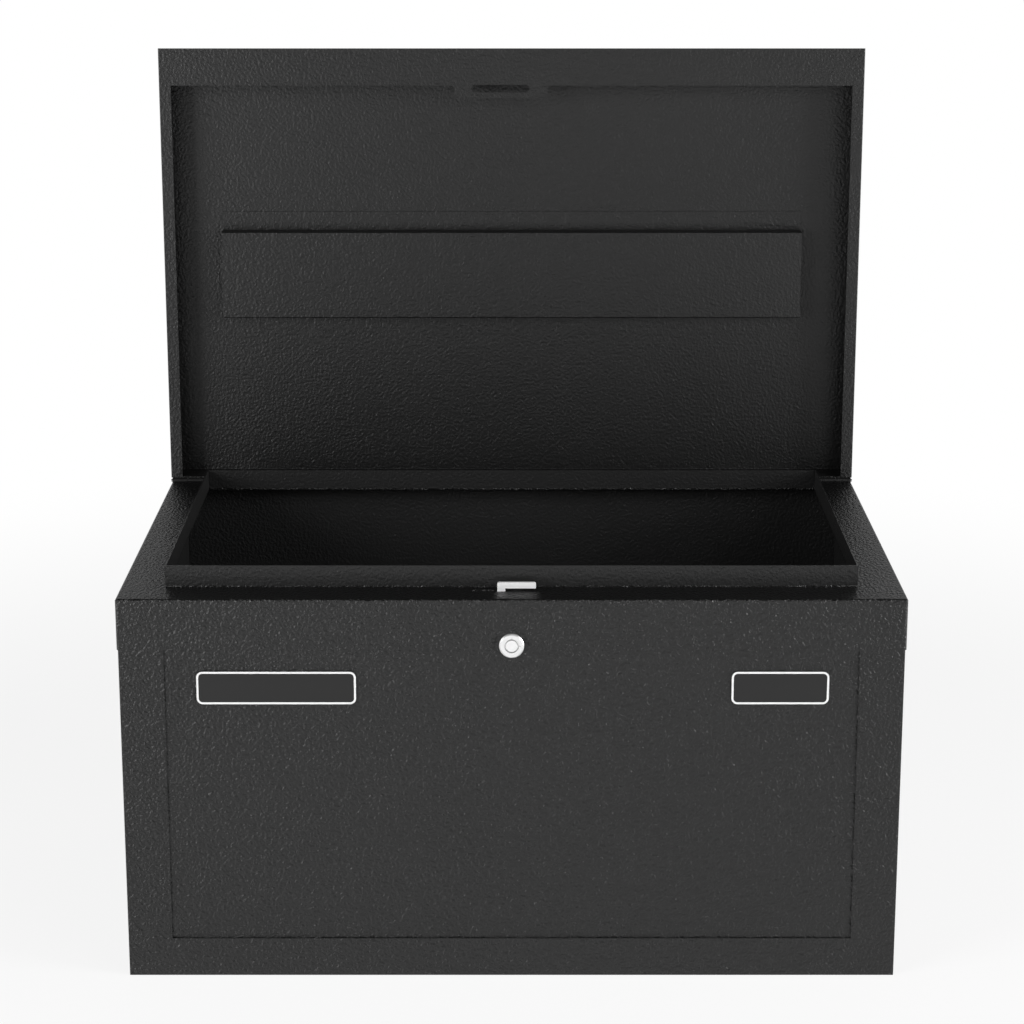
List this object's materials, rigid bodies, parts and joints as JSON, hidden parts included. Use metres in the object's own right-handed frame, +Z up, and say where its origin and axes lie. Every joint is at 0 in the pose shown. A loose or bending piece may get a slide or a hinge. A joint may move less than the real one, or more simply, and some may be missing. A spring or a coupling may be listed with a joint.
{
  "type": "storage chest",
  "caption": "Steel storage chest with an open hinged lid, raised inner lip, hook latch and tubular cam lock in the front.",
  "frame": {"origin": "middle of the body's footprint, on the surface the chest stands on", "axes": "+X to the right seen from the front, +Y to the back, +Z up; the lid stands open along +Z at rest"},
  "size_m": [0.662, 0.4384, 0.7538],
  "materials": {
    "body_paint": "textured black powder coat, semi-gloss",
    "inner_paint": "textured black powder coat inside the chest",
    "lid_paint": "textured black powder coat, semi-gloss",
    "hinge_paint": "black powder coat, thinner than on the sheets",
    "pin_steel": "drawn wire",
    "lock_chrome": "bright nickel-chrome plate",
    "plug_chrome": "bright plate, turned face",
    "zinc_plate": "bright zinc plate",
    "hook_zinc": "bright zinc plate, stamped edges"
  },
  "bodies": {
    "chest": {"front_frame": "body_paint", "rear_rail": "body_paint", "side_rail_left": "body_paint", "side_rail_right": "body_paint", "side_panel_left": "body_paint", "side_panel_right": "body_paint", "back_panel": "body_paint", "front_panel": "body_paint", "side_liner_left": "inner_paint", "side_liner_right": "inner_paint", "base_pan": "inner_paint", "latch_guard": "inner_paint", "lid_stops": "body_paint", "hinge_leaf_body": "hinge_paint", "hinge_pin": "pin_steel", "lock_housing": "lock_chrome", "lock_nut": "zinc_plate", "guide_studs": "zinc_plate"},
    "lid": {"lid_shell": "lid_paint", "lid_stiffener": "lid_paint", "hinge_leaf_lid": "hinge_paint"},
    "lock": {"lock_plug": "plug_chrome", "lock_cam": "zinc_plate"},
    "hook": {"hook_slide": "hook_zinc"}
  },
  "joints": [
    {"name": "lid_hinge", "type": "hinge", "parent": "chest", "child": "lid", "pos_m": [0, 0.20475, 0.3377], "axis": [1, 0, 0], "range_deg": [0, 90]},
    {"name": "lock_turn", "type": "hinge", "parent": "chest", "child": "lock", "pos_m": [0, -0.1922, 0.2968], "axis": [0, -1, 0], "range_deg": [0, 90]},
    {"name": "hook_shift", "type": "slide", "parent": "chest", "child": "hook", "axis": [-1, 0, 0], "range_m": [0, 0.02]}
  ],
  "couplings": [
    {"joint": "lock_turn", "follows": "hook_shift", "rad_per_m": 78.5}
  ]
}
